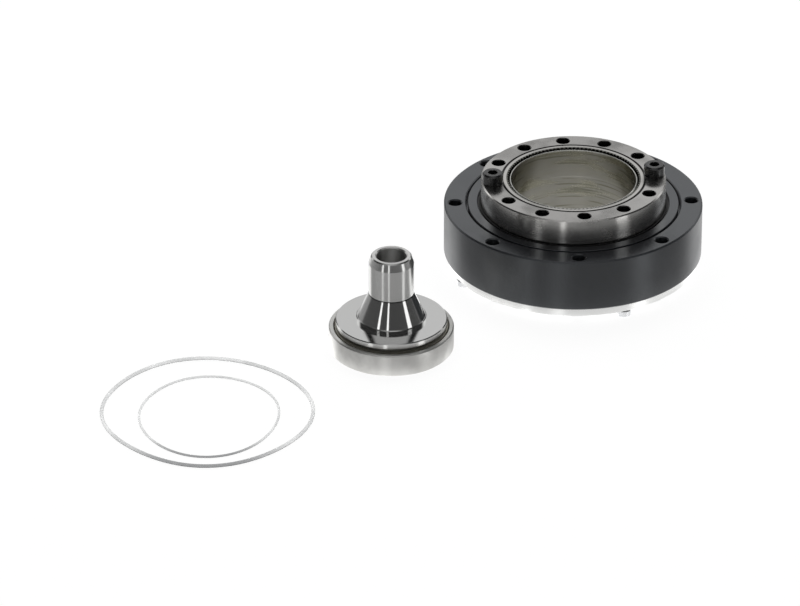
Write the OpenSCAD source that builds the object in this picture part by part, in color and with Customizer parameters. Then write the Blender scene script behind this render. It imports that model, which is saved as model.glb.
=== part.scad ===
// Strain wave gear: hat-shaped flexspline, circular spline on a crossed roller
// bearing, and its wave generator and two O-rings laid out beside it.
// Origin: gear axis, in the flexspline flange's mounting face. +Z is the output side.
// All sizes are in millimetres.

/* [Flexspline] */
// Bore of the thin tube, where the wave generator seats
flexspline_bore = 33.9; // [30:0.1:42]
// Wall of the tube
tube_wall = 0.25; // [0.2:0.01:0.35]
// Step from the tube up to the foot of the teeth
tooth_foot = 0.1; // [0.05:0.01:0.2]
// Height of the external teeth
flexspline_tooth_height = 0.32; // [0.25:0.01:0.4]
// Number of external teeth
flexspline_teeth = 100; // [80:2:120]
// Length of the tooth band
tooth_band = 8; // [6:0.1:10]
// Step in the bore under the tooth band
bore_relief = 0.05; // [0.02:0.01:0.08]
// Thickness of the thin brim between the tube and the flange
brim_thickness = 0.45; // [0.35:0.05:0.7]
// Height of the brim over the mounting face
brim_rise = 0.6; // [0.3:0.1:1]
// Bend radius between the tube and the brim
brim_bend = 1.5; // [1:0.1:2.5]
// Thickness of the mounting flange
flange_thickness = 2.4; // [2:0.1:3.5]
// Radial width of the mounting flange
flange_width = 6.5; // [5.5:0.1:6.9]
// How far the flange's edge stands back from the outer ring's side
flange_setback = 1; // [0.2:0.1:1.2]

/* [Circular spline] */
// Teeth that the circular spline has more than the flexspline
tooth_difference = 2; // [2:2:4]
// Height of the internal teeth
spline_tooth_height = 0.42; // [0.3:0.01:0.5]
// Gap between the tooth tips while the wave generator is out
tip_gap = 0.08; // [0.05:0.01:0.15]
// Radial wall outside the internal teeth
spline_rim = 6.88; // [6.5:0.01:8]
// Height of the circular spline
spline_height = 7.1; // [6:0.1:9]
// Radial land between the teeth and the groove round them
groove_land = 1; // [0.8:0.05:1.2]
// Width of that groove in the face
groove_width = 0.45; // [0.3:0.05:0.6]
// Distance of the flexspline's rim below the circular spline's face
rim_setback = 0.3; // [0.1:0.1:0.6]
// Output holes on the circular spline
output_hole_count = 12; // [8:2:12]
// Diameter of an output hole
output_hole = 3.5; // [3.2:0.1:3.6]
// Distance of the output holes from the circular spline's side
output_hole_inset = 3; // [2.8:0.1:3.2]
// Angle of the first output hole, which holds a screw
output_hole_angle = 6.2; // [0:0.1:29]

/* [Crossed roller bearing] */
// Radial distance from the circular spline's side to the roller circle
roller_offset = 0.6; // [0.55:0.05:1.5]
// Roller diameter
roller_diameter = 3; // [2.4:0.1:3.6]
// Roller length
roller_length = 2.9; // [2.3:0.1:3.2]
// Least thickness of a spacer between two rollers
spacer_width = 1.44; // [0.8:0.01:2]
// Running gap between a roller and its track
roller_gap = 0.03; // [0.01:0.01:0.05]
// Gap between the roller circle and each race's plain land
land_gap = 0.3; // [0.2:0.05:0.5]
// Radial width of the upper race ring
race_ring_width = 2.9; // [2.9:0.1:4]
// Height of the outer ring
ring_height = 14.5; // [12:0.1:18]
// Radial width of the outer ring outside the upper race ring
ring_land = 6.2; // [6:0.1:8]
// Chamfer on the outer ring's top edge
ring_chamfer = 0.4; // [0.3:0.1:1]
// Width of the open groove between the outer ring and the upper race ring
seam_width = 0.6; // [0.3:0.05:0.8]
// Height of the inner ring's foot over the flange's inner face
inner_ring_rise = 0.8; // [0.3:0.1:1.5]
// Depth of the tapped holes in the inner ring
tapped_depth = 5; // [4:0.1:5.1]
// Radial step from the circular spline's side in to the land that the seal runs on
seal_land_step = 0.3; // [0.26:0.01:0.4]
// Height of the seal
seal_height = 2; // [1.5:0.1:2.4]
// Wall of the seal's metal case
seal_case_wall = 0.25; // [0.2:0.01:0.3]

/* [Housing bolts] */
// Number of through holes in the outer ring
housing_hole_count = 8; // [6:2:8]
// Diameter of a through hole
housing_hole = 3.5; // [3.2:0.1:3.6]
// Distance of the through holes from the outer ring's side
housing_hole_inset = 3; // [2.8:0.1:3.2]
// Angle of the first through hole
housing_hole_angle = 1.3; // [0:0.1:44]
// Number of screws that hold the flexspline to the outer ring
flange_screw_count = 4; // [2:2:4]

/* [Wave generator] */
// Radial fit of the flexible bearing in the flexspline's bore, on the mean circle
bearing_fit = 0; // [0:0.01:0.05]
// Radial rise of the oval over the mean circle
wave_rise = 0.33; // [0.2:0.01:0.4]
// Width of the flexible bearing
bearing_width = 6.1; // [5:0.1:7.5]
// Ball diameter
ball_diameter = 3.175; // [2.5:0.025:3.2]
// Space between two balls, for the cage's bar
ball_space = 0.78; // [0.6:0.01:1.2]
// Gap between the round cage and each oval race where they come nearest
cage_gap = 0.26; // [0.1:0.01:0.3]
// Radial thickness of each race under the ball track
race_wall = 0.82; // [0.7:0.01:1]
// Radial height of each race's shoulder over the ball track's floor
race_shoulder = 0.53; // [0.4:0.01:0.55]
// Thickness of the polished disc
disc_thickness = 1.6; // [1:0.1:2.5]
// Gap under the disc
disc_clearance = 0.6; // [0.5:0.1:2]
// How far the polished disc's edge stands inside the outer race
disc_inset = 0.8; // [0.4:0.05:1.6]
// Diameter of the step at the cone's foot
cone_step = 18.6; // [17:0.1:20]
// Diameter of the cone's foot
cone_foot = 18; // [15:0.1:18.4]
// Height of the cone
cone_height = 6.75; // [5:0.05:10]
// Diameter of the hub
hub_diameter = 12; // [10.5:0.1:14]
// Length of the hub
hub_length = 8.9; // [6:0.1:12]
// Length of the hub's lead taper
hub_lead = 2.2; // [1:0.1:3]
// Shaft bore through the hub
shaft_bore = 8; // [5:0.1:8.5]

/* [O-rings] */
// Mean width of the large O-ring, which lies slightly oval
large_ring_width = 55.3; // [50:0.1:66]
// Mean depth of the large O-ring
large_ring_depth = 56.7; // [50:0.1:66]
// Section of the large O-ring
large_ring_section = 0.95; // [0.8:0.05:1.5]
// Mean width of the small O-ring, which lies oval
small_ring_width = 36.5; // [32:0.1:42]
// Mean depth of the small O-ring
small_ring_depth = 42.2; // [32:0.1:46]
// Section of the small O-ring
small_ring_section = 0.6; // [0.5:0.05:1]

/* [Layout] */
// Place of the wave generator from the gear axis
wave_generator_at = [-49.2, -46.2];
// Place of the large O-ring
large_ring_at = [-97.1, -82.6];
// Place of the small O-ring inside it
small_ring_at = [-96.65, -84.8];

/* [Hidden] */
$fn = 120;

// General values
cut = 1;
fine = 48;
small_chamfer = 0.2;
hole_chamfer = 0.3;
groove_depth = 0.8;

// Flexspline, from the bore outwards
bore_radius = flexspline_bore / 2;
tube_radius = bore_radius + tube_wall;
flex_root = tube_radius + tooth_foot;
flex_tip = flex_root + flexspline_tooth_height;

// Circular spline
spline_teeth = flexspline_teeth + tooth_difference;
spline_tip = flex_tip + tip_gap;
spline_root = spline_tip + spline_tooth_height;
spline_radius = spline_root + spline_rim;
output_circle = spline_radius - output_hole_inset;
groove_inner = spline_root + groove_land;

// Crossed roller bearing
roller_circle = spline_radius + roller_offset;
roller_count = 2 * floor(PI * roller_circle / (roller_diameter + spacer_width));
inner_land = roller_circle - land_gap;
outer_land = roller_circle + land_gap;
track_reach = (roller_diameter / 2 + roller_gap) * sqrt(2);
race_ring_radius = outer_land + race_ring_width;
race_seat_gap = 0.01;
ring_radius = race_ring_radius + ring_land;
housing_circle = ring_radius - housing_hole_inset;
flange_radius = ring_radius - flange_setback;
flange_inner = flange_radius - flange_width;
seam_chamfer = 0.25;
seam_depth = 2.4;
foot_chamfer = 0.4;
inner_bore = spline_root + 0.48;

// Heights
ring_bottom = flange_thickness;
ring_top = ring_bottom + ring_height;
roller_height = ring_bottom + ring_height / 2;
spline_top = ring_top + spline_height;
rim_top = spline_top - rim_setback;
rim_land = bore_radius + 0.17;
inner_bottom = ring_bottom + inner_ring_rise;
seal_top = ring_top - 0.1;
seal_bottom = seal_top - seal_height;
seal_step = seal_bottom - 0.9;
seal_land = spline_radius - seal_land_step;
seal_running_gap = 0.05;
seal_seat_gap = 0.01;

// M3 cap screws that hold the circular spline: head, socket, shank and thread core
m3 = 3;
m3_head = 5.68;
m3_head_height = 3;
m3_socket = 2.5;
m3_socket_depth = 1.5;
m3_tap = 2.5;
thread_gap = 0.05;

// M2.5 flat cheese-head screws under the flange
m25 = 2.5;
m25_head = 4.5;
m25_head_height = 1.85;
m25_socket = 2;
m25_socket_depth = 1;
m25_clearance = 2.7;
m25_tap = 2.1;
flange_screw_reach = 4.2;
flange_tap_depth = 5;
flange_screw_angle = housing_hole_angle + 180 / housing_hole_count;

// Everything that lies beside the gear stands as low as these screw heads
floor_height = -m25_head_height;

// Wave generator
bearing_radius = bore_radius - bearing_fit;
bearing_oval = [1 - wave_rise / bearing_radius, 1 + wave_rise / bearing_radius];
race_chamfer = 0.3;
ball_radius = ball_diameter / 2;
track_gap = 0.06;
track_radius = ball_radius + track_gap;
ball_circle = bearing_radius - race_wall - track_radius;
ball_count = floor(2 * PI * ball_circle / (ball_diameter + ball_space));
outer_shoulder = bearing_radius - race_wall - race_shoulder;
inner_track_floor = ball_circle - track_radius;
inner_shoulder = inner_track_floor + race_shoulder;
plug_radius = inner_track_floor - race_wall;
plug_fit = 0.01;
shoulder_radius = plug_radius + 1;
cage_width = 2 * (min(outer_shoulder * bearing_oval[0] - ball_circle,
    ball_circle - inner_shoulder * bearing_oval[1]) - cage_gap);
cage_height = 5.7;
pocket_gap = 0.08;
disc_radius = outer_shoulder - disc_inset;
disc_bottom = bearing_width + disc_clearance;
disc_top = disc_bottom + disc_thickness;
cone_bottom = disc_top + 1;
cone_top = cone_bottom + cone_height;
hub_groove_depth = 0.3;
hub_groove_height = 0.15;
hub_shoulder = cone_top + hub_length;
hub_top = hub_shoulder + hub_lead;
hub_radius = hub_diameter / 2;
hub_tip_radius = hub_radius - 0.6;
plug_base = 0.2;

// Points on an arc in the radius-height plane
function arc(centre, radius, from, to, steps = 6) = [
    for (i = [0:steps])
        let (a = from + (to - from) * i / steps)
            centre + radius * [cos(a), sin(a)]
];

// Outline of a toothed ring: each tooth has a root land, two flanks and a tip land
function teeth(count, root, tip, root_share = 0.30, tip_share = 0.26) = [
    for (i = [0:count - 1], corner = [0:3])
        let (
            pitch = 360 / count,
            half = corner == 0 || corner == 3 ? 0.5 - root_share / 2 : tip_share / 2,
            side = corner < 2 ? -1 : 1,
            radius = corner == 0 || corner == 3 ? root : tip,
            a = (i + side * half) * pitch
        )
            radius * [cos(a), sin(a)]
];

module around(count, radius, start = 0) {
    for (i = [0:count - 1])
        rotate([0, 0, start + i * 360 / count])
            translate([radius, 0, 0])
                children();
}

module turned(profile) {
    rotate_extrude()
        polygon(profile);
}

// A profile turned into an oval ring, by the factors that stretch X and Y
module oval_turned(stretch) {
    for (quarter = [0:3])
        scale([stretch[0], stretch[1], 1])
            rotate([0, 0, 90 * quarter])
                rotate_extrude(angle = 90)
                    children();
}

// A through hole with a chamfered mouth at its upper end, from z = 0 to z = depth
module mouth_hole(diameter, depth, chamfer) {
    translate([0, 0, -cut])
        cylinder(d = diameter, h = depth + 2 * cut, $fn = fine);
    translate([0, 0, depth - chamfer])
        cylinder(d1 = diameter, d2 = diameter + 4 * chamfer, h = 2 * chamfer, $fn = fine);
}

// A socket screw, its head on z = 0 and its thread down the -Z axis
module socket_screw(head, head_height, socket, socket_depth, shank, shank_length, core, length) {
    edge = 0.08 * head;
    difference() {
        rotate_extrude($fn = fine)
            polygon([
                [0, -length], [core / 2 - 0.2, -length], [core / 2, -length + 0.2],
                [core / 2, -shank_length], [shank / 2, -shank_length], [shank / 2, 0],
                [head / 2 - 0.1, 0], [head / 2, 0.1], [head / 2, head_height - edge],
                [head / 2 - edge, head_height], [0, head_height]
            ]);
        translate([0, 0, head_height - socket_depth])
            cylinder(d = socket / cos(30), h = socket_depth + cut, $fn = 6);
        translate([0, 0, head_height - 0.15])
            cylinder(d1 = socket, d2 = socket + 1.2, h = 0.6, $fn = fine);
    }
}

// ---- Housing ----

module outer_ring() {
    color([0.08, 0.08, 0.09])
        difference() {
            turned([
                [outer_land, ring_bottom],
                [ring_radius - foot_chamfer, ring_bottom],
                [ring_radius, ring_bottom + foot_chamfer],
                [ring_radius, ring_top - ring_chamfer],
                [ring_radius - ring_chamfer, ring_top],
                [race_ring_radius + seam_width / 2 + seam_chamfer, ring_top],
                [race_ring_radius + seam_width / 2, ring_top - seam_chamfer],
                [race_ring_radius + seam_width / 2, ring_top - seam_depth],
                [race_ring_radius + race_seat_gap, ring_top - seam_depth],
                [race_ring_radius + race_seat_gap, roller_height],
                [roller_circle + track_reach, roller_height],
                [outer_land, roller_height - track_reach + land_gap]
            ]);
            translate([0, 0, ring_bottom])
                around(housing_hole_count, housing_circle, housing_hole_angle)
                    mouth_hole(housing_hole, ring_height, hole_chamfer);
            translate([0, 0, ring_bottom - cut])
                around(flange_screw_count, housing_circle, flange_screw_angle)
                    cylinder(d = m25_tap, h = flange_tap_depth + cut, $fn = fine);
        }
}

module upper_race_ring() {
    color([0.1, 0.1, 0.11])
        turned([
            [roller_circle + track_reach, roller_height],
            [race_ring_radius, roller_height],
            [race_ring_radius, ring_top - seam_depth],
            [race_ring_radius - seam_width / 2, ring_top - seam_depth],
            [race_ring_radius - seam_width / 2, ring_top - 0.1],
            [race_ring_radius - seam_width / 2 - 0.1, ring_top],
            [outer_land + small_chamfer, ring_top],
            [outer_land, ring_top - small_chamfer],
            [outer_land, roller_height + track_reach - land_gap]
        ]);
}

module seal_case() {
    outside = outer_land - seal_seat_gap;
    inside = outside - seal_case_wall;
    leg = inside - 0.5;
    color([0.16, 0.16, 0.17])
        turned([
            [leg, seal_bottom], [outside - 0.1, seal_bottom], [outside, seal_bottom + 0.1],
            [outside, seal_top - 0.6], [inside, seal_top - 0.6],
            [inside, seal_bottom + seal_case_wall], [leg, seal_bottom + seal_case_wall]
        ]);
}

module seal_lip() {
    back = outer_land - seal_seat_gap - seal_case_wall - seal_seat_gap;
    foot = seal_bottom + seal_case_wall + seal_seat_gap;
    lip = seal_land + seal_running_gap;
    color([0.05, 0.05, 0.055])
        turned([
            [lip + 0.2, foot], [back, foot], [back, seal_top - 0.65], [back - 0.2, seal_top - 0.6],
            [back - 0.2, seal_top - 0.05], [back - 0.25, seal_top], [back - 0.45, seal_top],
            [back - 0.5, seal_top - 0.05], [back - 0.55, seal_top - 0.6],
            [lip + 0.2, seal_top - 0.5], [lip, seal_top - 0.3], [lip, seal_top - 0.5],
            [lip + 0.15, seal_top - 0.8], [lip, foot + 0.4]
        ]);
}

module flexspline() {
    brim_top = brim_rise + brim_thickness;
    outer_bend = brim_bend - 0.3;
    color([0.62, 0.62, 0.58])
        difference() {
            union() {
                turned(concat(
                    [[0, 0], [flange_radius - small_chamfer, 0], [flange_radius, small_chamfer]],
                    [[flange_radius, flange_thickness - small_chamfer]],
                    [[flange_radius - small_chamfer, flange_thickness]],
                    [[flange_inner + 0.3, flange_thickness], [flange_inner, flange_thickness - 0.3]],
                    [[flange_inner, brim_top]],
                    arc([tube_radius + outer_bend, brim_top + outer_bend], outer_bend, 270, 180),
                    [[tube_radius, rim_top], [0, rim_top]]
                ));
                translate([0, 0, rim_top - tooth_band])
                    linear_extrude(tooth_band)
                        polygon(teeth(flexspline_teeth, flex_root, flex_tip));
            }
            turned(concat(
                [[0, -cut], [flange_inner, -cut], [flange_inner, brim_rise]],
                arc([bore_radius + bore_relief + brim_bend, brim_rise + brim_bend], brim_bend, 270, 180),
                [[bore_radius + bore_relief, rim_top - tooth_band - small_chamfer]],
                [[bore_radius, rim_top - tooth_band]],
                [[bore_radius, rim_top - 0.05], [bore_radius + 0.05, rim_top]],
                [[bore_radius + 0.05, rim_top + cut], [0, rim_top + cut]]
            ));
            turned([
                [rim_land, rim_top], [flex_tip + cut, rim_top - (flex_tip + cut - rim_land)],
                [flex_tip + cut, rim_top + cut], [rim_land, rim_top + cut]
            ]);
            around(housing_hole_count, housing_circle, housing_hole_angle)
                translate([0, 0, -cut])
                    cylinder(d = housing_hole, h = flange_thickness + 2 * cut, $fn = fine);
            around(flange_screw_count, housing_circle, flange_screw_angle)
                translate([0, 0, -cut])
                    cylinder(d = m25_clearance, h = flange_thickness + 2 * cut, $fn = fine);
        }
}

module flange_screws() {
    color([0.55, 0.55, 0.56])
        around(flange_screw_count, housing_circle, flange_screw_angle)
            rotate([180, 0, 0])
                socket_screw(m25_head, m25_head_height, m25_socket, m25_socket_depth,
                    m25, flange_thickness - 0.1, m25_tap - 2 * thread_gap,
                    flange_thickness + flange_screw_reach);
}

// ---- Output ----

module inner_ring() {
    color([0.5, 0.5, 0.52])
        difference() {
            turned([
                [inner_bore, inner_bottom + small_chamfer],
                [inner_bore + small_chamfer, inner_bottom],
                [inner_land - foot_chamfer, inner_bottom],
                [inner_land, inner_bottom + foot_chamfer],
                [inner_land, roller_height - track_reach + land_gap],
                [roller_circle - track_reach, roller_height],
                [inner_land, roller_height + track_reach - land_gap],
                [inner_land, seal_step],
                [seal_land, seal_step + (inner_land - seal_land) / 2],
                [seal_land, ring_top],
                [inner_bore, ring_top]
            ]);
            translate([0, 0, ring_top - tapped_depth])
                around(output_hole_count, output_circle, output_hole_angle)
                    cylinder(d = m3_tap, h = tapped_depth + cut, $fn = fine);
        }
}

module circular_spline() {
    color([0.58, 0.58, 0.57])
        difference() {
            turned([
                [0, ring_top],
                [spline_radius - small_chamfer, ring_top],
                [spline_radius, ring_top + small_chamfer],
                [spline_radius, spline_top - hole_chamfer],
                [spline_radius - hole_chamfer, spline_top],
                [0, spline_top]
            ]);
            translate([0, 0, ring_top - cut])
                linear_extrude(spline_height + 2 * cut)
                    polygon(teeth(spline_teeth, spline_tip, spline_root, 0.26, 0.30));
            turned([
                [groove_inner, spline_top - groove_depth],
                [groove_inner + groove_width, spline_top - groove_depth],
                [groove_inner + groove_width, spline_top + cut],
                [groove_inner, spline_top + cut]
            ]);
            translate([0, 0, ring_top])
                around(output_hole_count, output_circle, output_hole_angle)
                    mouth_hole(output_hole, spline_height, small_chamfer);
        }
}

module spline_screws() {
    color([0.06, 0.06, 0.07])
        around(2, output_circle, output_hole_angle)
            translate([0, 0, spline_top])
                socket_screw(m3_head, m3_head_height, m3_socket, m3_socket_depth,
                    m3, spline_height - 0.3, m3_tap - 2 * thread_gap,
                    spline_height + tapped_depth - 0.5);
}

// ---- Rollers ----

// One roller at the origin, its axis tilted in the radius-height plane
module roller(tilt, gap = 0, extra = 0) {
    radius = roller_diameter / 2 + gap;
    half = roller_length / 2 + extra;
    rotate([0, tilt, 0])
        rotate_extrude($fn = fine)
            polygon([
                [0, -half], [radius - 0.12, -half], [radius, -half + 0.12],
                [radius, half - 0.12], [radius - 0.12, half], [0, half]
            ]);
}

module roller_half(tilt, start) {
    translate([0, 0, roller_height])
        around(roller_count / 2, roller_circle, start)
            roller(tilt);
}

module rollers_rising() {
    color([0.7, 0.7, 0.72])
        roller_half(45, 0);
}

module rollers_falling() {
    color([0.66, 0.66, 0.7])
        roller_half(-45, 360 / roller_count);
}

// Spacers are hollowed on both sides, to sit between two crossed rollers
module roller_spacers() {
    step = 360 / roller_count;
    spacer_gap = 0.03;
    spacer_radius = roller_diameter / 2 - 0.25;
    chord = 2 * roller_circle * sin(step / 2);
    color([0.85, 0.84, 0.78])
        translate([0, 0, roller_height])
            for (i = [0:roller_count - 1])
                rotate([0, 0, i * step])
                    difference() {
                        rotate([0, 0, step / 2])
                            translate([roller_circle, 0, 0])
                                rotate([90, 0, 0])
                                    cylinder(r = spacer_radius, h = chord - roller_diameter * 0.7,
                                        center = true, $fn = fine);
                        translate([roller_circle, 0, 0])
                            roller(i % 2 == 0 ? 45 : -45, spacer_gap, cut);
                        rotate([0, 0, step])
                            translate([roller_circle, 0, 0])
                                roller(i % 2 == 0 ? -45 : 45, spacer_gap, cut);
                    }
}

// ---- Wave generator ----

module at_wave_generator() {
    translate([wave_generator_at[0], wave_generator_at[1], floor_height])
        children();
}

module wave_outer_race() {
    middle = bearing_width / 2;
    track = acos((outer_shoulder - ball_circle) / track_radius);
    color([0.68, 0.68, 0.65])
        at_wave_generator()
            oval_turned(bearing_oval)
                polygon(concat(
                    [[outer_shoulder + small_chamfer, 0], [bearing_radius - race_chamfer, 0]],
                    [[bearing_radius, race_chamfer], [bearing_radius, bearing_width - race_chamfer]],
                    [[bearing_radius - race_chamfer, bearing_width]],
                    [[outer_shoulder + small_chamfer, bearing_width]],
                    [[outer_shoulder, bearing_width - small_chamfer]],
                    arc([ball_circle, middle], track_radius, track, -track, 8),
                    [[outer_shoulder, small_chamfer]]
                ));
}

module wave_inner_race() {
    middle = bearing_width / 2;
    track = acos((ball_circle - inner_shoulder) / track_radius);
    color([0.6, 0.6, 0.6])
        at_wave_generator()
            oval_turned(bearing_oval)
                polygon(concat(
                    [[plug_radius, 0], [inner_shoulder, 0]],
                    arc([ball_circle, middle], track_radius, 180 + track, 180 - track, 8),
                    [[inner_shoulder, bearing_width], [plug_radius, bearing_width]]
                ));
}

// Children at each ball, +X pointing straight out of the bearing
module at_balls() {
    for (i = [0:ball_count - 1])
        let (a = 360 * i / ball_count)
            translate([
                ball_circle * bearing_oval[0] * cos(a),
                ball_circle * bearing_oval[1] * sin(a),
                bearing_width / 2
            ])
                rotate([0, 0, a])
                    children();
}

module wave_balls() {
    color([0.8, 0.8, 0.8])
        at_wave_generator()
            at_balls()
                sphere(r = ball_radius, $fn = fine);
}

module ball_cage() {
    bottom = (bearing_width - cage_height) / 2;
    color([0.2, 0.19, 0.15])
        at_wave_generator()
            difference() {
                turned([
                    [ball_circle - cage_width / 2, bottom],
                    [ball_circle + cage_width / 2, bottom],
                    [ball_circle + cage_width / 2, bottom + cage_height],
                    [ball_circle - cage_width / 2, bottom + cage_height]
                ]);
                at_balls()
                    rotate([0, 90, 0])
                        cylinder(r = ball_radius + pocket_gap, h = 3 * cage_width, center = true,
                            $fn = fine);
            }
}

module wave_plug() {
    bore = shaft_bore / 2;
    color([0.66, 0.66, 0.66])
        at_wave_generator()
            difference() {
                union() {
                    oval_turned(bearing_oval)
                        translate([0, plug_base])
                            square([plug_radius - plug_fit, bearing_width]);
                    turned([
                        [0, bearing_width], [shoulder_radius, bearing_width],
                        [shoulder_radius, disc_bottom], [disc_radius - small_chamfer, disc_bottom],
                        [disc_radius, disc_bottom + small_chamfer],
                        [disc_radius, disc_top - small_chamfer],
                        [disc_radius - small_chamfer, disc_top],
                        [cone_step / 2, disc_top],
                        [cone_step / 2, cone_bottom - small_chamfer],
                        [cone_step / 2 - small_chamfer, cone_bottom],
                        [cone_foot / 2, cone_bottom],
                        [hub_radius, cone_top],
                        [hub_radius - hub_groove_depth, cone_top],
                        [hub_radius - hub_groove_depth, cone_top + hub_groove_height],
                        [hub_radius, cone_top + hub_groove_height],
                        [hub_radius, hub_shoulder],
                        [hub_tip_radius, hub_top - 0.3],
                        [hub_tip_radius - 0.3, hub_top],
                        [0, hub_top]
                    ]);
                }
                translate([0, 0, -cut])
                    cylinder(r = bore, h = hub_top + 2 * cut, $fn = fine);
                translate([0, 0, hub_top - hole_chamfer])
                    cylinder(r1 = bore, r2 = bore + 2 * hole_chamfer, h = 2 * hole_chamfer, $fn = fine);
                translate([0, 0, plug_base - hole_chamfer])
                    cylinder(r1 = bore + 2 * hole_chamfer, r2 = bore, h = 2 * hole_chamfer, $fn = fine);
            }
}

// ---- O-rings ----

module at_floor(place, section) {
    translate([place[0], place[1], floor_height + section / 2])
        children();
}

module o_ring(place, width, depth, section) {
    mean = (width + depth) / 4;
    color([0.8, 0.82, 0.82])
        at_floor(place, section)
            oval_turned([width / 2 / mean, depth / 2 / mean])
                translate([mean, 0])
                    circle(d = section, $fn = 12);
}

module large_o_ring() {
    o_ring(large_ring_at, large_ring_width, large_ring_depth, large_ring_section);
}

module small_o_ring() {
    o_ring(small_ring_at, small_ring_width, small_ring_depth, small_ring_section);
}

outer_ring();
upper_race_ring();
seal_case();
seal_lip();
flexspline();
flange_screws();
inner_ring();
circular_spline();
spline_screws();
rollers_rising();
rollers_falling();
roller_spacers();
wave_outer_race();
wave_plug();
wave_inner_race();
wave_balls();
ball_cage();
large_o_ring();
small_o_ring();
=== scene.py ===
# %% [markdown]
# # A strain wave gear, laid out in its parts
#
# The gear unit stands on the screw heads under its flange. The wave generator has been taken out
# of it and stands beside it, and two O-rings lie next to that. The frame brings the exact solids
# of every metal and plastic piece. What is left to do is the work of a studio and a finisher:
# light the table, find the view, give each piece its machined, blackened or polished surface,
# and lay the two soft rings down as rubber really lies.

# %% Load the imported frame
import math

import bpy
import numpy as np
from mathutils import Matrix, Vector


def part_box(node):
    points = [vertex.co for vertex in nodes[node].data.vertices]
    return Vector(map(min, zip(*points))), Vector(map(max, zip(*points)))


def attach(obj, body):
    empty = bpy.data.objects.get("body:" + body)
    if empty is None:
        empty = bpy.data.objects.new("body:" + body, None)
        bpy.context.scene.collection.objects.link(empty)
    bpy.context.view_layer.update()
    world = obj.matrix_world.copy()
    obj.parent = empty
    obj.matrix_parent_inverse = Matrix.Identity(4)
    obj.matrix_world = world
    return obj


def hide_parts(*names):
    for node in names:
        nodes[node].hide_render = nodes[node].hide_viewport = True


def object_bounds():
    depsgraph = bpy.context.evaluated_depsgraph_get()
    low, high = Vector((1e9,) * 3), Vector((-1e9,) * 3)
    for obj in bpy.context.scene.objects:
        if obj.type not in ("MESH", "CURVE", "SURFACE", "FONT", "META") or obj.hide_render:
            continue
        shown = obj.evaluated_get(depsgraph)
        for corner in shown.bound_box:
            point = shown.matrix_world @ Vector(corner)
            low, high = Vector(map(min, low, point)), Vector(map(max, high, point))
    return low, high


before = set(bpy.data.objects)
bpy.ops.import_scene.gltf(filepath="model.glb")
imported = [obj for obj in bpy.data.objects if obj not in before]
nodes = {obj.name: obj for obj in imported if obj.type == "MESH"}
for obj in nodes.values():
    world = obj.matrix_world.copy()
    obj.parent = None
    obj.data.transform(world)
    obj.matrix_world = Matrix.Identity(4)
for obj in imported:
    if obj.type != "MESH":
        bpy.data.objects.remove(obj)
cad_low, cad_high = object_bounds()
MM = 0.001
print(len(nodes), "nodes,", [round(side / MM, 1) for side in cad_high - cad_low], "mm")

# %% [markdown]
# ## Where things are
#
# The gear's axis is the frame's own upright axis. The wave generator has an axis of its own, in
# the middle of its outer race, and the table is as high as the lowest piece. These places could
# be typed in as numbers, but then a changed solid would leave its finish behind, so they are
# read from the boxes of the pieces.

# %% Find the two axes and the table
gear_axis = Vector((0, 0, 0))
race_low, race_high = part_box("wave_outer_race")
wave_axis = (race_low + race_high) / 2
table_height = cad_low.z
model_middle = (cad_low + cad_high) / 2
print("wave generator at", [round(place / MM, 1) for place in wave_axis])

# %% [markdown]
# ## The camera
#
# A long lens from well back keeps the circles true ellipses, which is how a catalogue shows a
# gear. The camera looks down at the table from 29 degrees. Its aim is set off from the wave
# generator's axis, so that the gear, the wave generator and the rings fill the frame evenly. A
# camera can also be turned by hand until the view looks right. Here its place is worked out
# from the aim, the angle and the distance, so that each can be changed by itself.

# %% Stand the camera
VIEW_ELEVATION = math.radians(28.8)
VIEW_DISTANCE = 1.7
SENSOR_WIDTH = 36
LENS_LENGTH = 284.4
NEAREST_SEEN = 0.1
FURTHEST_SEEN = 20
AIM_ASIDE = Vector((2.3, 23.1, 0)) * MM

aim = Vector((wave_axis.x, wave_axis.y, table_height)) + AIM_ASIDE
back_to_camera = Vector((0, -math.cos(VIEW_ELEVATION), math.sin(VIEW_ELEVATION)))
camera_data = bpy.data.cameras.new("camera")
camera_data.sensor_width = SENSOR_WIDTH
camera_data.lens = LENS_LENGTH
camera_data.clip_start = NEAREST_SEEN
camera_data.clip_end = FURTHEST_SEEN
camera = bpy.data.objects.new("camera", camera_data)
bpy.context.scene.collection.objects.link(camera)
camera.location = aim + back_to_camera * VIEW_DISTANCE
camera.rotation_mode = "QUATERNION"
camera.rotation_quaternion = (-back_to_camera).to_track_quat("-Z", "Y")
bpy.context.scene.camera = camera
bpy.context.scene.view_settings.view_transform = "Standard"
print("camera aims at", [round(place / MM, 1) for place in aim])

# %% [markdown]
# ## Helpers for node trees
#
# A material or a world is a tree of small boxes that pass numbers on. Building one by hand takes
# many clicks, so the lesson uses a few helpers. `add` makes a box and fills its inputs, either
# with a value or with a link from another box. `maths` does one sum, `between` eases one number
# into another, and `mix_numbers` slides between two.

# %% Helpers that build node trees
def add(tree, kind, inputs=None, **settings):
    """A shader node with its settings. An input is a value, or a socket to link from."""
    made = tree.nodes.new("ShaderNode" + kind)
    for name, value in settings.items():
        setattr(made, name, value)
    for name, value in (inputs or {}).items():
        if isinstance(value, bpy.types.NodeSocket):
            tree.links.new(value, made.inputs[name])
        else:
            made.inputs[name].default_value = value
    return made


def maths(tree, operation, *values):
    """The result of one sum on sockets or numbers."""
    return add(tree, "Math", dict(enumerate(values)), operation=operation).outputs[0]


def between(tree, value, low, high, to_low=0.0, to_high=1.0):
    """Value eased from to_low, where it is low or less, to to_high, where it is high or more."""
    inputs = {0: value, 1: low, 2: high, 3: to_low, 4: to_high}
    return add(tree, "MapRange", inputs, interpolation_type="SMOOTHSTEP").outputs[0]


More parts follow.
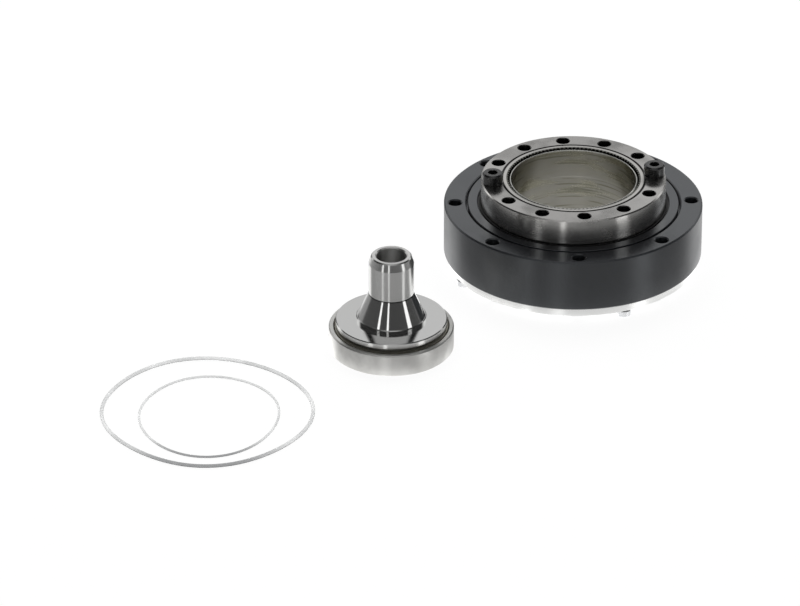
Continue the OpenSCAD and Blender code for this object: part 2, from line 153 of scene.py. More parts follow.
def mix_numbers(tree, share, first, second):
    """The first number where share is 0, the second where it is 1."""
    return add(tree, "Mix", {0: share, 2: first, 3: second}, data_type="FLOAT").outputs[0]


def grey(level):
    """An opaque grey colour."""
    return (level, level, level, 1)


print("node helpers:", *(helper.__name__ for helper in (add, maths, between, mix_numbers)))

# %% [markdown]
# ## The studio's surroundings
#
# Polished metal shows what stands round it, so the room matters more than the lamps. A bright
# screen stands behind the table, from about 15 to 45 degrees up, and it is brighter towards its
# two ends. The rest of the room is dark and gets darker towards the ceiling. Straight overhead
# hangs a white cloth, so that flat steel is not black from above. It shows in reflections only.
# The screen and the cloth could be real sheets with light on them. A world whose colour follows
# the direction gives the same reflections with no edge for the camera to catch. What the camera
# sees directly is plain white.
#
# Each pair below says where an edge starts and ends, as a part of a direction one unit long:
# how far it points up, back or aside.

# %% Light the screen and darken the room
SCREEN_LIGHT = 0.80
SCREEN_ENDS_LIGHT = 1.5
WALLS_LIGHT = 0.09
CEILING_LIGHT = 0.02
CLOTH_LIGHT = 0.7
SCREEN_SIDES = (0.40, 0.66)
SCREEN_FOOT = (0.15, 0.40)
SCREEN_TOP = (0.60, 0.80)
MIDDLE_TO_ENDS = (0.10, 0.50)
WALLS_TO_CEILING = (0.2, 0.8)
CLOTH_EDGE = (0.82, 0.90)

world = bpy.data.worlds.new("studio")
bpy.context.scene.world = world
world.use_nodes = True
room = world.node_tree
room.nodes.clear()
direction = add(room, "SeparateXYZ", {0: add(room, "TexCoord").outputs["Generated"]}).outputs
above = direction["Z"]
aside = maths(room, "ABSOLUTE", direction["X"])
to_back = between(room, direction["Y"], *SCREEN_SIDES)
over_foot = between(room, above, *SCREEN_FOOT)
under_top = between(room, above, *SCREEN_TOP, 1.0, 0.0)
screen = maths(room, "MULTIPLY", to_back, maths(room, "MULTIPLY", over_foot, under_top))
screen_light = between(room, aside, *MIDDLE_TO_ENDS, SCREEN_LIGHT, SCREEN_ENDS_LIGHT)
dark_part = between(room, above, *WALLS_TO_CEILING, WALLS_LIGHT, CEILING_LIGHT)
room_light = mix_numbers(room, screen, dark_part, screen_light)
cloth = between(room, above, *CLOTH_EDGE, 0.0, CLOTH_LIGHT)
ray = add(room, "LightPath").outputs
in_reflections = maths(room, "MULTIPLY_ADD", ray["Is Glossy Ray"], cloth, room_light)
room_view = mix_numbers(room, ray["Is Camera Ray"], in_reflections, 1.0)
room_surface = add(room, "Background", {"Color": grey(1.0), "Strength": room_view})
add(room, "OutputWorld", {"Surface": room_surface.outputs[0]})
print("screen", SCREEN_LIGHT, "walls", WALLS_LIGHT)

# %% [markdown]
# ## Three strip lamps and a soft key
#
# Every turned surface in this gear carries three bright upright streaks at the same three
# angles, so three tall, narrow lamps stand round the table: two to the left of the camera and a
# wider one to the right. The streaks could be painted into the steel, but then they would stay
# put when the view changes. Lamps move them as they move on real metal. The strips are there
# for reflections only. One broad lamp, high over the back of the table, does the opposite: it
# lights whatever is matt and shows in no reflection.

# %% Hang the lamps
STRIP_DISTANCE = 1.5
STRIP_ELEVATION = 14.5
STRIP_HEIGHT = 0.75
STRIP_RADIANCE = 1.55
STRIPS = {"strip_left": (-43, 0.19), "strip_middle": (-12, 0.16), "strip_right": (63, 0.35)}
KEY_AZIMUTH = 180
KEY_ELEVATION = 62
KEY_DISTANCE = 1.6
KEY_SIZE = (1.2, 0.9)
KEY_RADIANCE = 3.0


def hang_lamp(name, azimuth, elevation, distance, size, radiance):
    """An area lamp that faces the model. Angles are in degrees; azimuth 0 is the camera's side."""
    width, height = size
    data = bpy.data.lights.new(name, "AREA")
    data.shape = "RECTANGLE"
    data.size = width
    data.size_y = height
    data.energy = radiance * math.pi * width * height
    lamp = bpy.data.objects.new(name, data)
    bpy.context.scene.collection.objects.link(lamp)
    azimuth, elevation = math.radians(azimuth), math.radians(elevation)
    outwards = Vector((
        math.sin(azimuth) * math.cos(elevation),
        -math.cos(azimuth) * math.cos(elevation),
        math.sin(elevation),
    ))
    lamp.location = model_middle + outwards * distance
    lamp.rotation_mode = "QUATERNION"
    lamp.rotation_quaternion = outwards.to_track_quat("Z", "Y")
    return lamp


for strip_name, (azimuth, width) in STRIPS.items():
    strip = hang_lamp(
        strip_name, azimuth, STRIP_ELEVATION, STRIP_DISTANCE, (width, STRIP_HEIGHT), STRIP_RADIANCE
    )
    strip.visible_diffuse = False
key = hang_lamp("key", KEY_AZIMUTH, KEY_ELEVATION, KEY_DISTANCE, KEY_SIZE, KEY_RADIANCE)
key.visible_glossy = False
print(len(STRIPS), "strips at", [azimuth for azimuth, width in STRIPS.values()], "degrees")

# %% [markdown]
# ## How bright the table is in metal
#
# The table is a plain white disc of polished board, and half of what polished steel shows is
# this board. In metal it is a dim grey. It is brightest close to the two upright pieces, so
# their feet are pale, and dimmer again under the gear's bore. Small lamps hidden behind the
# pieces would do that in a studio. Here the board glows by itself, more or less with the
# distance from each axis, which needs no lamp to hide.

# %% Work out the table's glow
TABLE_GLOW = 0.33
FOOT_GLOW = 0.9
BORE_GLOW = 0.5
RACE_FOOT_SHARE = 0.75
RACE_REACH = 9 * MM
GEAR_REACH = 14 * MM
BORE_RADIUS = 17 * MM
BORE_REACH = 4 * MM


def nearness(tree, middle, radius, reach):
    """1 inside a radius round an upright axis, easing to 0 within a reach of it."""
    place = add(tree, "TexCoord").outputs["Object"]
    flat = add(tree, "VectorMath", {0: place, 1: (1, 1, 0)}, operation="MULTIPLY").outputs[0]
    arm = add(tree, "VectorMath", {0: flat, 1: (middle.x, middle.y, 0)}, operation="DISTANCE")
    return between(tree, arm.outputs["Value"], radius, radius + reach, 1.0, 0.0)


def table_glow(tree):
    """How bright the board is in metal: most at the feet, less under the bore, least far off."""
    race_radius = (race_high.x - race_low.x) / 2
    race_foot = nearness(tree, wave_axis, race_radius, RACE_REACH)
    gear_foot = nearness(tree, gear_axis, cad_high.x, GEAR_REACH)
    at_feet = maths(
        tree, "MAXIMUM", maths(tree, "MULTIPLY", race_foot, RACE_FOOT_SHARE), gear_foot
    )
    outside = between(tree, at_feet, 0.0, 1.0, TABLE_GLOW, FOOT_GLOW)
    under_bore = nearness(tree, gear_axis, BORE_RADIUS, BORE_REACH)
    return mix_numbers(tree, under_bore, outside, BORE_GLOW)


print("table glow", TABLE_GLOW, "at the feet", FOOT_GLOW, "under the bore", BORE_GLOW)

# %% [markdown]
# ## The table
#
# To the camera, and through the clear rings, the board is nearly all its own white with a
# little real shade mixed in, so that the pieces stand on faint soft shadows and the rest runs
# into the background. A board lit until it is white would look the same, but so much light would
# wash out the pieces. In metal it shows its glow under a gloss, which mirrors the bright screen
# behind it, the dark room in front, and the three strips.

# %% Finish and lay the table
TABLE_RADIUS = 4.0
TABLE_SIDES = 96
OWN_WHITE = 0.95
SHADED_WHITE = 0.12
BOARD_WHITE = 0.8
TABLE_POLISH = 0.66
POLISH_ROUGHNESS = 0.08


def table_finish():
    """White board: faint shade for the camera, dim and polished in reflections."""
    material = bpy.data.materials.new("white_table")
    material.use_nodes = True
    tree = material.node_tree
    tree.nodes.clear()
    path = add(tree, "LightPath").outputs
    own_white = add(tree, "Emission", {"Color": grey(1.0), "Strength": OWN_WHITE}).outputs[0]
    shade = add(tree, "BsdfDiffuse", {"Color": grey(SHADED_WHITE)}).outputs[0]
    seen_white = add(tree, "AddShader", {0: own_white, 1: shade}).outputs[0]
    glow = add(tree, "Emission", {"Color": grey(1.0), "Strength": table_glow(tree)}).outputs[0]
    polish = add(
        tree, "BsdfAnisotropic", {"Color": grey(TABLE_POLISH), "Roughness": POLISH_ROUGHNESS}
    ).outputs[0]
    in_metal = add(tree, "AddShader", {0: glow, 1: polish}).outputs[0]
    board = add(tree, "BsdfDiffuse", {"Color": grey(BOARD_WHITE)}).outputs[0]
    others = add(tree, "MixShader", {0: path["Is Glossy Ray"], 1: board, 2: in_metal}).outputs[0]
    in_view = maths(tree, "MAXIMUM", path["Is Camera Ray"], path["Is Transmission Ray"])
    seen = add(tree, "MixShader", {0: in_view, 1: others, 2: seen_white})
    add(tree, "OutputMaterial", {"Surface": seen.outputs[0]})
    return material


def lay_table():
    """The round table top, at the height of the lowest piece."""
    rim = [
        (
            model_middle.x + TABLE_RADIUS * math.cos(angle),
            model_middle.y + TABLE_RADIUS * math.sin(angle),
            table_height,
        )
        for angle in np.linspace(0, 2 * math.pi, TABLE_SIDES, endpoint=False)
    ]
    mesh = bpy.data.meshes.new("table_top")
    mesh.from_pydata(rim, [], [list(range(TABLE_SIDES))])
    mesh.materials.append(table_finish())
    top = bpy.data.objects.new("table_top", mesh)
    bpy.context.scene.collection.objects.link(top)


lay_table()
print("table at", round(table_height / MM, 2), "mm")

# %% [markdown]
# ## Marks that run round an axis
#
# A lathe and a grinding wheel both leave lines that run round the piece. On a face they are
# circles, and on a wall they are rings one above the other. They could be drawn on the unrolled
# surface, but that leaves a seam where its two ends meet. Here the noise is looked up by the
# distance from the axis and by the height, which change fast, and by the direction round the
# axis, which changes slowly. The lines then run round without a seam, on faces and walls alike.
# Pitches, sizes and depths of marks are in millimetres from here on.

# %% Helpers for marks and smudges
AT_THE_AXIS = 0.1 * MM


def from_axis(tree, axis):
    """Sockets: distance from an upright axis, height, and the direction's X and Y parts."""
    place = add(tree, "TexCoord").outputs["Object"]
    arm = add(tree, "VectorMath", {0: place, 1: (axis.x, axis.y, 0)}, operation="SUBTRACT")
    parts = add(tree, "SeparateXYZ", {0: arm.outputs[0]}).outputs
    x_squared = maths(tree, "MULTIPLY", parts["X"], parts["X"])
    y_squared = maths(tree, "MULTIPLY", parts["Y"], parts["Y"])
    distance = maths(tree, "SQRT", maths(tree, "ADD", x_squared, y_squared))
    safe = maths(tree, "MAXIMUM", distance, AT_THE_AXIS)
    across = maths(tree, "DIVIDE", parts["X"], safe)
    deep = maths(tree, "DIVIDE", parts["Y"], safe)
    return distance, parts["Z"], across, deep


def tool_marks(tree, axis, pitch, wander=1.0, detail=2.0):
    """Noise from 0 to 1 in lines round the axis, a pitch apart. Wander varies them on the way."""
    distance, height, across, deep = from_axis(tree, axis)
    per_metre = 1 / (pitch * MM)
    line_place = add(tree, "CombineXYZ", {
        0: maths(tree, "MULTIPLY", distance, per_metre),
        1: maths(tree, "MULTIPLY", height, per_metre),
        2: maths(tree, "MULTIPLY", across, wander),
    }).outputs[0]
    return add(tree, "TexNoise", {
        "Vector": line_place,
        "W": maths(tree, "MULTIPLY", deep, wander),
        "Scale": 1.0,
        "Detail": detail,
    }, noise_dimensions="4D").outputs[0]


def smudges(tree, size, detail=3.0):
    """Noise from 0 to 1 in soft patches of about a size."""
    place = add(tree, "TexCoord").outputs["Object"]
    inputs = {"Vector": place, "Scale": 1 / (size * MM), "Detail": detail}
    return add(tree, "TexNoise", inputs).outputs[0]


print("marks run round", [round(place / MM, 1) for place in (*gear_axis.xy, *wave_axis.xy)])

# %% [markdown]
# ## What all the finishes share
#
# Most pieces are turned, and a lamp's reflection on a turned surface is pulled out across the
# marks into a streak. Very fine bumps could do that, but they would need far more light rays, so
# the shader's anisotropy does it, with a tangent that runs round the axis. The other helpers
# blend two colours, tell a flat face from a wall, find a band round a given radius or height,
# and turn noise into a slight relief.

# %% Helpers that start, shade and close a finish
ACROSS_THE_MARKS = 0.25
FACES_UP = (0.75, 0.95)
GRAIN_SPREAD = (0.3, 0.7)


def blend_colours(tree, share, first, second):
    """The first colour where share is 0, the second where it is 1: sockets or three numbers."""
    first, second = ((*tone, 1) if isinstance(tone, tuple) else tone for tone in (first, second))
    return add(tree, "Mix", {0: share, 6: first, 7: second}, data_type="RGBA").outputs[2]


def facing_up(tree):
    """1 on a flat face seen from above, 0 on an upright wall."""
    return add(tree, "SeparateXYZ", {0: add(tree, "NewGeometry").outputs["Normal"]}).outputs["Z"]


def in_band(tree, value, middle, inner, outer):
    """1 where value is within inner of the middle, 0 where it is more than outer from it."""
    off_middle = maths(tree, "ABSOLUTE", maths(tree, "SUBTRACT", value, middle))
    return between(tree, off_middle, inner, outer, 1.0, 0.0)


def relief(tree, height, depth, under=None):
    """The surface's direction over bumps of a depth, on top of another relief if given."""
    inputs = {"Height": height, "Distance": depth * MM, "Strength": 1.0}
    if under is not None:
        inputs["Normal"] = under
    return add(tree, "Bump", inputs).outputs[0]


def start_material(name):
    """A new material and its empty node tree."""
    material = bpy.data.materials.new(name)
    material.use_nodes = True
    material.node_tree.nodes.clear()
    return material, material.node_tree


def close_material(tree, inputs):
    """The shader with its inputs, linked to the material's output."""
    shader = add(tree, "BsdfPrincipled", inputs)
    add(tree, "OutputMaterial", {"Surface": shader.outputs[0]})


def close_turned(tree, streak, inputs):
    """As close_material, for marks that run round the axis: streak says how far lamps stretch."""
    close_material(tree, {
        **inputs,
        "Anisotropic": streak,
        "Anisotropic Rotation": ACROSS_THE_MARKS,
        "Tangent": add(tree, "Tangent", direction_type="RADIAL", axis="Z").outputs[0],
    })


print("a face is flat where it points up by", FACES_UP)

# %% [markdown]
# ## Turned and ground steel
#
# The circular spline, the races, the inner ring and the rollers are bare steel that was turned
# and then ground. Fine noise along the marks varies the roughness and tilts the surface a
# little, and broad patches dull it where hands have been. The flat faces are painted a darker
# grey than the round walls: painted shade on the faces. A separate material for each surface
# would need the mesh cut up, so one material reads which way the surface faces.

# %% A finish for bare steel
GRINDING_PITCH = 0.25
GRINDING_DEPTH = 0.0015
STAIN_SIZE = 9.0
STAIN_SPREAD = (0.42, 0.72)
STAIN_SHARE = 0.3
STAIN_TONE = (0.2, 0.2, 0.19)
CLEAN_DULLNESS = 0.5
DULLNESS_SPREAD = (0.45, 1.1)


def bare_steel(name, axis, walls, faces, roughness, streak, oil=None):
    """Ground steel: greys of walls and faces, a (low, high) roughness, how far lamps streak.

    Oil is a function that adds painted shade and other tones to the colour so far.
    """
    material, tree = start_material(name)
    marks = tool_marks(tree, axis, GRINDING_PITCH)
    stains = between(tree, smudges(tree, STAIN_SIZE), *STAIN_SPREAD)
    dullness = maths(tree, "MULTIPLY_ADD", marks, stains, CLEAN_DULLNESS)
    # Painted shade: the flat faces take a darker grey than the walls.
    colour = blend_colours(tree, between(tree, facing_up(tree), *FACES_UP), walls, faces)
    colour = blend_colours(tree, maths(tree, "MULTIPLY", stains, STAIN_SHARE), colour, STAIN_TONE)
    if oil:
        colour = oil(tree, axis, colour)
    close_turned(tree, streak, {
        "Base Color": colour,
        "Metallic": 1.0,
        "Roughness": between(tree, dullness, *DULLNESS_SPREAD, *roughness),
        "Normal": relief(tree, marks, GRINDING_DEPTH),
    })
    return material


ring_steel = bare_steel(
    "ring_steel", gear_axis, walls=(0.42, 0.42, 0.42), faces=(0.40, 0.40, 0.40),
    roughness=(0.22, 0.32), streak=0.7,
)
race_steel = bare_steel(
    "ground_race", wave_axis, walls=(0.84, 0.835, 0.81), faces=(0.68, 0.68, 0.66),
    roughness=(0.36, 0.48), streak=0.3,
)
roller_steel = bare_steel(
    "roller_steel", gear_axis, walls=(0.62, 0.62, 0.63), faces=(0.55, 0.55, 0.56),
    roughness=(0.12, 0.2), streak=0.2,
)
print("bare steel finishes:", ring_steel.name, race_steel.name, roller_steel.name)

# %% [markdown]
# ## Painted shade on the circular spline
#
# The circular spline is bare steel too. Its teeth, its groove and the walls of its twelve holes
# are painted dark, as painted shade in these hollows, and the land between the teeth and the
# groove is lighter. The dark places could be found by how deep they lie. Their distance from the
# axis is simpler and sharper, because every one of them is a circle or stands on one.

# %% A finish for the circular spline
TEETH_END = 18.2 * MM
TEETH_EDGE = 0.1 * MM
GROOVE_AT = 19.35 * MM
GROOVE_BAND = (0.28 * MM, 0.42 * MM)
LAND_EDGE = 0.2 * MM
HOLES_AT = 22.0 * MM
HOLE_BAND = (2.1 * MM, 2.3 * MM)
HOLE_WALLS = (0.85, 0.95)
LIGHTER_LAND = (0.54, 0.53, 0.51)
SHADED_TEETH = (0.16, 0.16, 0.145)
SHADED_HOLLOWS = (0.11, 0.11, 0.105)


def shade_and_land_on_spline(tree, axis, colour):
    """Painted shade on the teeth, the groove and the hole walls, and a lighter land between."""
    distance = from_axis(tree, axis)[0]
    on_land = between(tree, distance, GROOVE_AT - LAND_EDGE, GROOVE_AT, 1.0, 0.0)
    colour = blend_colours(tree, on_land, colour, LIGHTER_LAND)
    # Painted shade: the teeth are darkened.
    in_teeth = between(tree, distance, TEETH_END - TEETH_EDGE, TEETH_END + TEETH_EDGE, 1.0, 0.0)
    colour = blend_colours(tree, in_teeth, colour, SHADED_TEETH)
    # Painted shade: the groove and the hole walls are darkened as hollows.
    in_groove = in_band(tree, distance, GROOVE_AT, *GROOVE_BAND)
    in_holes = maths(
        tree, "MULTIPLY", in_band(tree, distance, HOLES_AT, *HOLE_BAND),
        between(tree, facing_up(tree), *HOLE_WALLS, 1.0, 0.0),
    )
    return blend_colours(tree, maths(tree, "MAXIMUM", in_groove, in_holes), colour, SHADED_HOLLOWS)


spline_steel = bare_steel(
    "spline_steel", gear_axis, walls=(0.66, 0.65, 0.63), faces=(0.47, 0.462, 0.45),
    roughness=(0.20, 0.30), streak=0.85, oil=shade_and_land_on_spline,
)
print("oil on", spline_steel.name, "at", [round(at / MM, 2) for at in (GROOVE_AT, HOLES_AT)], "mm")

# %% [markdown]
# ## Blackened steel
#
# The outer ring and the race ring were turned and then blackened in a hot oxide bath. The black
# is thin and oily: it is nearly black seen square on, and shines a cool grey at a low angle. The
# film of oil is a coat over the black, thinner on the flat top, which was wiped smooth. A few
# specks show brighter, where the oxide is rubbed. Plain black paint would be simpler, but it has
# neither the second gloss nor the turned marks that show through.

# %% A finish for blackened steel
OXIDE_BLACK = (0.006, 0.0065, 0.009)
RUBBED_OXIDE = (0.04, 0.04, 0.045)
COOL_GLOSS = (0.84, 0.92, 1.0, 1)
TURNING_PITCH = 0.22
TURNING_DEPTH = 0.0012
CHATTER_PITCH = 1.3
CHATTER_DEPTH = 0.002
OIL_PATCH = 14.0
OIL_SPREAD = (0.35, 0.75)
SPECK_SIZE = 0.9
SPECK_SPREAD = (0.72, 0.80)
RUBBED_PATCH = 6.0
RUBBED_SPREAD = (0.55, 0.75)
MARKS_SHARE = 0.5
OXIDE_SPREAD = (0.2, 1.3)
WALL_ROUGHNESS = (0.42, 0.54)
TOP_IS_SMOOTHER = -0.27
WALL_OIL = 0.5
TOP_HAS_LESS_OIL = -0.2


def black_oxide(name, axis):
    """Black oxide on turned steel, with an oil film and rubbed specks."""
    material, tree = start_material(name)
    marks = tool_marks(tree, axis, TURNING_PITCH)
    chatter = tool_marks(tree, axis, CHATTER_PITCH, wander=0.7)
    oil_patches = between(tree, smudges(tree, OIL_PATCH), *OIL_SPREAD)
    specks = between(tree, smudges(tree, SPECK_SIZE, 2.0), *SPECK_SPREAD)
    handled = between(tree, smudges(tree, RUBBED_PATCH), *RUBBED_SPREAD)
    dullness = maths(tree, "MULTIPLY_ADD", marks, MARKS_SHARE, oil_patches)
    wall_rough = between(tree, dullness, *OXIDE_SPREAD, *WALL_ROUGHNESS)
    on_top = between(tree, facing_up(tree), *FACES_UP)
    rubbed = maths(tree, "MULTIPLY", specks, handled)
    turned = relief(tree, marks, TURNING_DEPTH)
    close_turned(tree, 0.8, {
        "Base Color": blend_colours(tree, rubbed, OXIDE_BLACK, RUBBED_OXIDE),
        "Metallic": 0.0,
        "Roughness": maths(tree, "MULTIPLY_ADD", on_top, TOP_IS_SMOOTHER, wall_rough),
        "IOR": 1.65,
        "Specular Tint": COOL_GLOSS,
        "Coat Weight": maths(tree, "MULTIPLY_ADD", on_top, TOP_HAS_LESS_OIL, WALL_OIL),
        "Coat Roughness": 0.33,
        "Coat IOR": 1.9,
        "Normal": relief(tree, chatter, CHATTER_DEPTH, under=turned),
    })
    return material


ring_black = black_oxide("ring_black", gear_axis)
print("black finish:", ring_black.name)

# %% [markdown]
# ## The two socket screws
#
# The screws on the circular spline are blackened too, and their edges show bright steel: partly
# rubbed by a key and fingers, partly a painted highlight along the edges. The worn edges could be
# painted on by hand. The Bevel node finds them instead: it bends the surface's direction near an
# edge, and where that differs from the flat direction, the steel shows. A soft noise breaks the
# bright line up.

# %% A finish for worn screws
WORN_AND_HIGHLIT_EDGE = 0.22 * MM
EDGE_BEND = (0.82, 0.99)
SCREW_BLACK = (0.010, 0.010, 0.012)
SCREW_STEEL = (0.42, 0.42, 0.42)
WEAR_SIZE = 1.2
WEAR_SPREAD = (0.20, 0.50)
SCREW_GRAIN = 0.5
SCREW_ROUGHNESS = (0.22, 0.36)
BEVEL_SAMPLES = 8


def worn_and_highlit_screw(name):
    """Black oxide with bright steel on the edges: rubbed, and a painted highlight."""
    material, tree = start_material(name)
    flat = add(tree, "NewGeometry").outputs["Normal"]
    rounded = add(tree, "Bevel", {"Radius": WORN_AND_HIGHLIT_EDGE}, samples=BEVEL_SAMPLES).outputs[0]
    alike = add(tree, "VectorMath", {0: flat, 1: rounded}, operation="DOT_PRODUCT")
    on_edge = between(tree, alike.outputs["Value"], *EDGE_BEND, 1.0, 0.0)
    worn_and_highlit_patches = between(tree, smudges(tree, WEAR_SIZE), *WEAR_SPREAD)
    rubbed = maths(tree, "MULTIPLY", on_edge, worn_and_highlit_patches)
    grain = smudges(tree, SCREW_GRAIN)
    # Painted highlight, partly real rubbing: the edges take bright steel.
    close_material(tree, {
        "Base Color": blend_colours(tree, rubbed, SCREW_BLACK, SCREW_STEEL),
        "Metallic": rubbed,
        "Roughness": between(tree, grain, *GRAIN_SPREAD, *SCREW_ROUGHNESS),
        "IOR": 1.8,
    })
    return material


screw_black = worn_and_highlit_screw("screw_black")
print("worn edge", WORN_AND_HIGHLIT_EDGE / MM, "mm:", screw_black.name)

# %% [markdown]
# ## The flexspline's thin steel
#
# Inside, the thin tube shows fine turning rings under a film of oil. The oil gathers in long
# smears that follow the rings and tints the steel olive. They could be painted by hand, but the
# helper for tool marks gives them too, with a wider pitch. The rim is painted bright, a painted
# highlight along its top edge, and the teeth outside it are painted dark, a painted shade where
# the circular spline shadows them. The flange at its foot is the same steel, but painted pale and
# plain, a painted reflection of the white table. The flexspline is one solid, so the height and
# the distance from the axis tell these places apart.

# %% A finish for the flexspline
tube_low, tube_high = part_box("flexspline")
FLANGE_EDGE = 26 * MM
FLANGE_FADE = 1 * MM
TOOTH_FOOT = 17.3 * MM
TOOTH_EDGE = 0.05 * MM
RIM_DEPTH = (0.35 * MM, 0.25 * MM)
OLIVE_STEEL = (0.385, 0.375, 0.34)
OLIVE_SMEAR = (0.34, 0.33, 0.265)
OIL_LINE = (0.25, 0.245, 0.20)
PAINTED_RIM_HIGHLIGHT = (0.68, 0.68, 0.65)
PAINTED_TOOTH_SHADE = (0.16, 0.16, 0.14)
PAINTED_FLANGE_REFLECTION = (0.92, 0.92, 0.91)
BORE_PITCH = 0.18
SMEAR_PITCH = 2.6
SMEAR_SPREAD = (0.42, 0.66)
LINE_PITCH = 0.55
LINE_SPREAD = (0.62, 0.72)
DRY_ROUGHNESS = 0.32
OILY_ROUGHNESS = 0.24


def oiled_spring_steel(name, axis):
    """Fine-turned steel, oil smears in the bore; painted light on rim and flange, shade on teeth.
    """
    material, tree = start_material(name)
    distance, height = from_axis(tree, axis)[:2]
    marks = tool_marks(tree, axis, BORE_PITCH)
    smears = between(tree, tool_marks(tree, axis, SMEAR_PITCH, wander=1.2), *SMEAR_SPREAD)
    lines = between(
        tree, tool_marks(tree, axis, LINE_PITCH, wander=1.5, detail=0.0), *LINE_SPREAD
    )
    colour = blend_colours(tree, smears, OLIVE_STEEL, OLIVE_SMEAR)
    colour = blend_colours(tree, lines, colour, OIL_LINE)
    # Painted highlight: the top of the rim is made brighter.
    rim_foot, rim_clear = (tube_high.z - depth for depth in RIM_DEPTH)
    colour = blend_colours(tree, between(tree, height, rim_foot, rim_clear), colour, PAINTED_RIM_HIGHLIGHT)
    # Painted shade: the teeth outside the rim are darkened.
    in_teeth = between(tree, distance, TOOTH_FOOT - TOOTH_EDGE, TOOTH_FOOT + TOOTH_EDGE)
    colour = blend_colours(tree, in_teeth, colour, PAINTED_TOOTH_SHADE)
    # Painted reflection: the flange is painted pale, as if it mirrored the white table.
    on_flange = between(tree, distance, FLANGE_EDGE, FLANGE_EDGE + FLANGE_FADE)
    close_turned(tree, 0.75, {
        "Base Color": blend_colours(tree, on_flange, colour, PAINTED_FLANGE_REFLECTION),
        "Metallic": 1.0,
        "Roughness": between(tree, smears, 0.0, 1.0, DRY_ROUGHNESS, OILY_ROUGHNESS),
        "Normal": relief(tree, marks, GRINDING_DEPTH),
    })
    return material


tube_steel = oiled_spring_steel("tube_steel", gear_axis)
print("flexspline from", round(tube_low.z / MM, 1), "to", round(tube_high.z / MM, 1), "mm")

# %% [markdown]
# ## The wave generator's plug
#
# The plug is one turned piece with several finishes. The disc and the cone are polished like a
# mirror, and the hub above the undercut is ground to a fit, so it is a little duller and lighter.
# The bore is only drilled and reamed, so lamps streak down it, and the disc's rim is left as
# turned and painted pale, a painted highlight on a rim that mirrors only the dark gap below it.
# The narrow undercut at the hub's foot is painted dark, a painted shade in the groove. One
# material covers them all, because they meet on one solid: the height up the axis and the
# distance from it pick the roughness and the tone.

# %% A finish for the plug
HUB_LENGTH = 11.1 * MM
HUB_EDGE = 0.05 * MM
UNDERCUT_BAND = (0.10 * MM, 0.17 * MM)
BORE_WALL = 4.2 * MM
BORE_EDGE = 0.1 * MM
DISC_RIM = 14.6 * MM
RIM_EDGE = 0.2 * MM
RIM_WALLS = (0.4, 0.8)
LAPPING_PITCH = 0.2
LAPPING_DEPTH = 0.0006
LAPPING_SPREAD = (0.35, 0.65)
MIRROR_ROUGHNESS = (0.08, 0.12)
HUB_IS_DULLER = 0.12
RIM_IS_DULLER = 0.1
BORE_IS_DULLER = 0.15
MIRROR_STEEL = (0.60, 0.60, 0.595)
HUB_STEEL = (0.66, 0.66, 0.65)
RIM_PAINTED_HIGHLIGHT = (0.95, 0.95, 0.93)
UNDERCUT_PAINTED_SHADE = (0.06, 0.06, 0.06)


def polished_plug(name, axis):
    """Mirror polish on the disc and the cone, a ground hub, a reamed bore."""
    material, tree = start_material(name)
    distance, height = from_axis(tree, axis)[:2]
    hub_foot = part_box("wave_plug")[1].z - HUB_LENGTH
    on_hub = between(tree, height, hub_foot - HUB_EDGE, hub_foot + HUB_EDGE)
    on_rim = maths(
        tree, "MULTIPLY", between(tree, distance, DISC_RIM - RIM_EDGE, DISC_RIM),
        between(tree, facing_up(tree), *RIM_WALLS, 1.0, 0.0),
    )
    in_bore = between(tree, distance, BORE_WALL, BORE_WALL + BORE_EDGE, 1.0, 0.0)
    in_undercut = in_band(tree, height, hub_foot, *UNDERCUT_BAND)
    marks = tool_marks(tree, axis, LAPPING_PITCH)
    rough = between(tree, marks, *LAPPING_SPREAD, *MIRROR_ROUGHNESS)
    rough = maths(tree, "MULTIPLY_ADD", on_hub, HUB_IS_DULLER, rough)
    rough = maths(tree, "MULTIPLY_ADD", on_rim, RIM_IS_DULLER, rough)
    rough = maths(tree, "MULTIPLY_ADD", in_bore, BORE_IS_DULLER, rough)
    colour = blend_colours(tree, on_hub, MIRROR_STEEL, HUB_STEEL)
    # Painted highlight: the disc's rim is made pale.
    colour = blend_colours(tree, on_rim, colour, RIM_PAINTED_HIGHLIGHT)
    # Painted shade: the undercut at the hub's foot is darkened.
    colour = blend_colours(tree, in_undercut, colour, UNDERCUT_PAINTED_SHADE)
    close_turned(tree, 0.8, {
        "Base Color": colour,
        "Metallic": 1.0,
        "Roughness": rough,
        "Normal": relief(tree, marks, LAPPING_DEPTH),
    })
    return material


plug_steel = polished_plug("plug_steel", wave_axis)
print("plug finish:", plug_steel.name)

# %% [markdown]
# ## Plated screws, plastic and rubber
#
# The screws under the flange are zinc plated, the roller spacers and the ball cage are moulded
# plastic, the balls are polished, and the seal is matt rubber in a blackened case. Each could
# have a material built for it alone, but they differ only in numbers: two close colours, the
# roughness, and the size and depth of a fine grain. So one function makes them all.

# %% Finishes for the small pieces
PATCH_PER_GRAIN = 12
PATCH_SPREAD = (0.35, 0.7)


def grained(name, colour, second, metallic, roughness, grain, depth):
    """A surface with fine even grain: two colours, a (low, high) roughness, size and depth."""
    material, tree = start_material(name)
    fine = smudges(tree, grain, 2.0)
    patches = between(tree, smudges(tree, grain * PATCH_PER_GRAIN), *PATCH_SPREAD)
    close_material(tree, {
        "Base Color": blend_colours(tree, patches, colour, second),
        "Metallic": metallic,
        "Roughness": between(tree, fine, *GRAIN_SPREAD, *roughness),
        "IOR": 1.5,
        "Normal": relief(tree, fine, depth),
    })
    return material


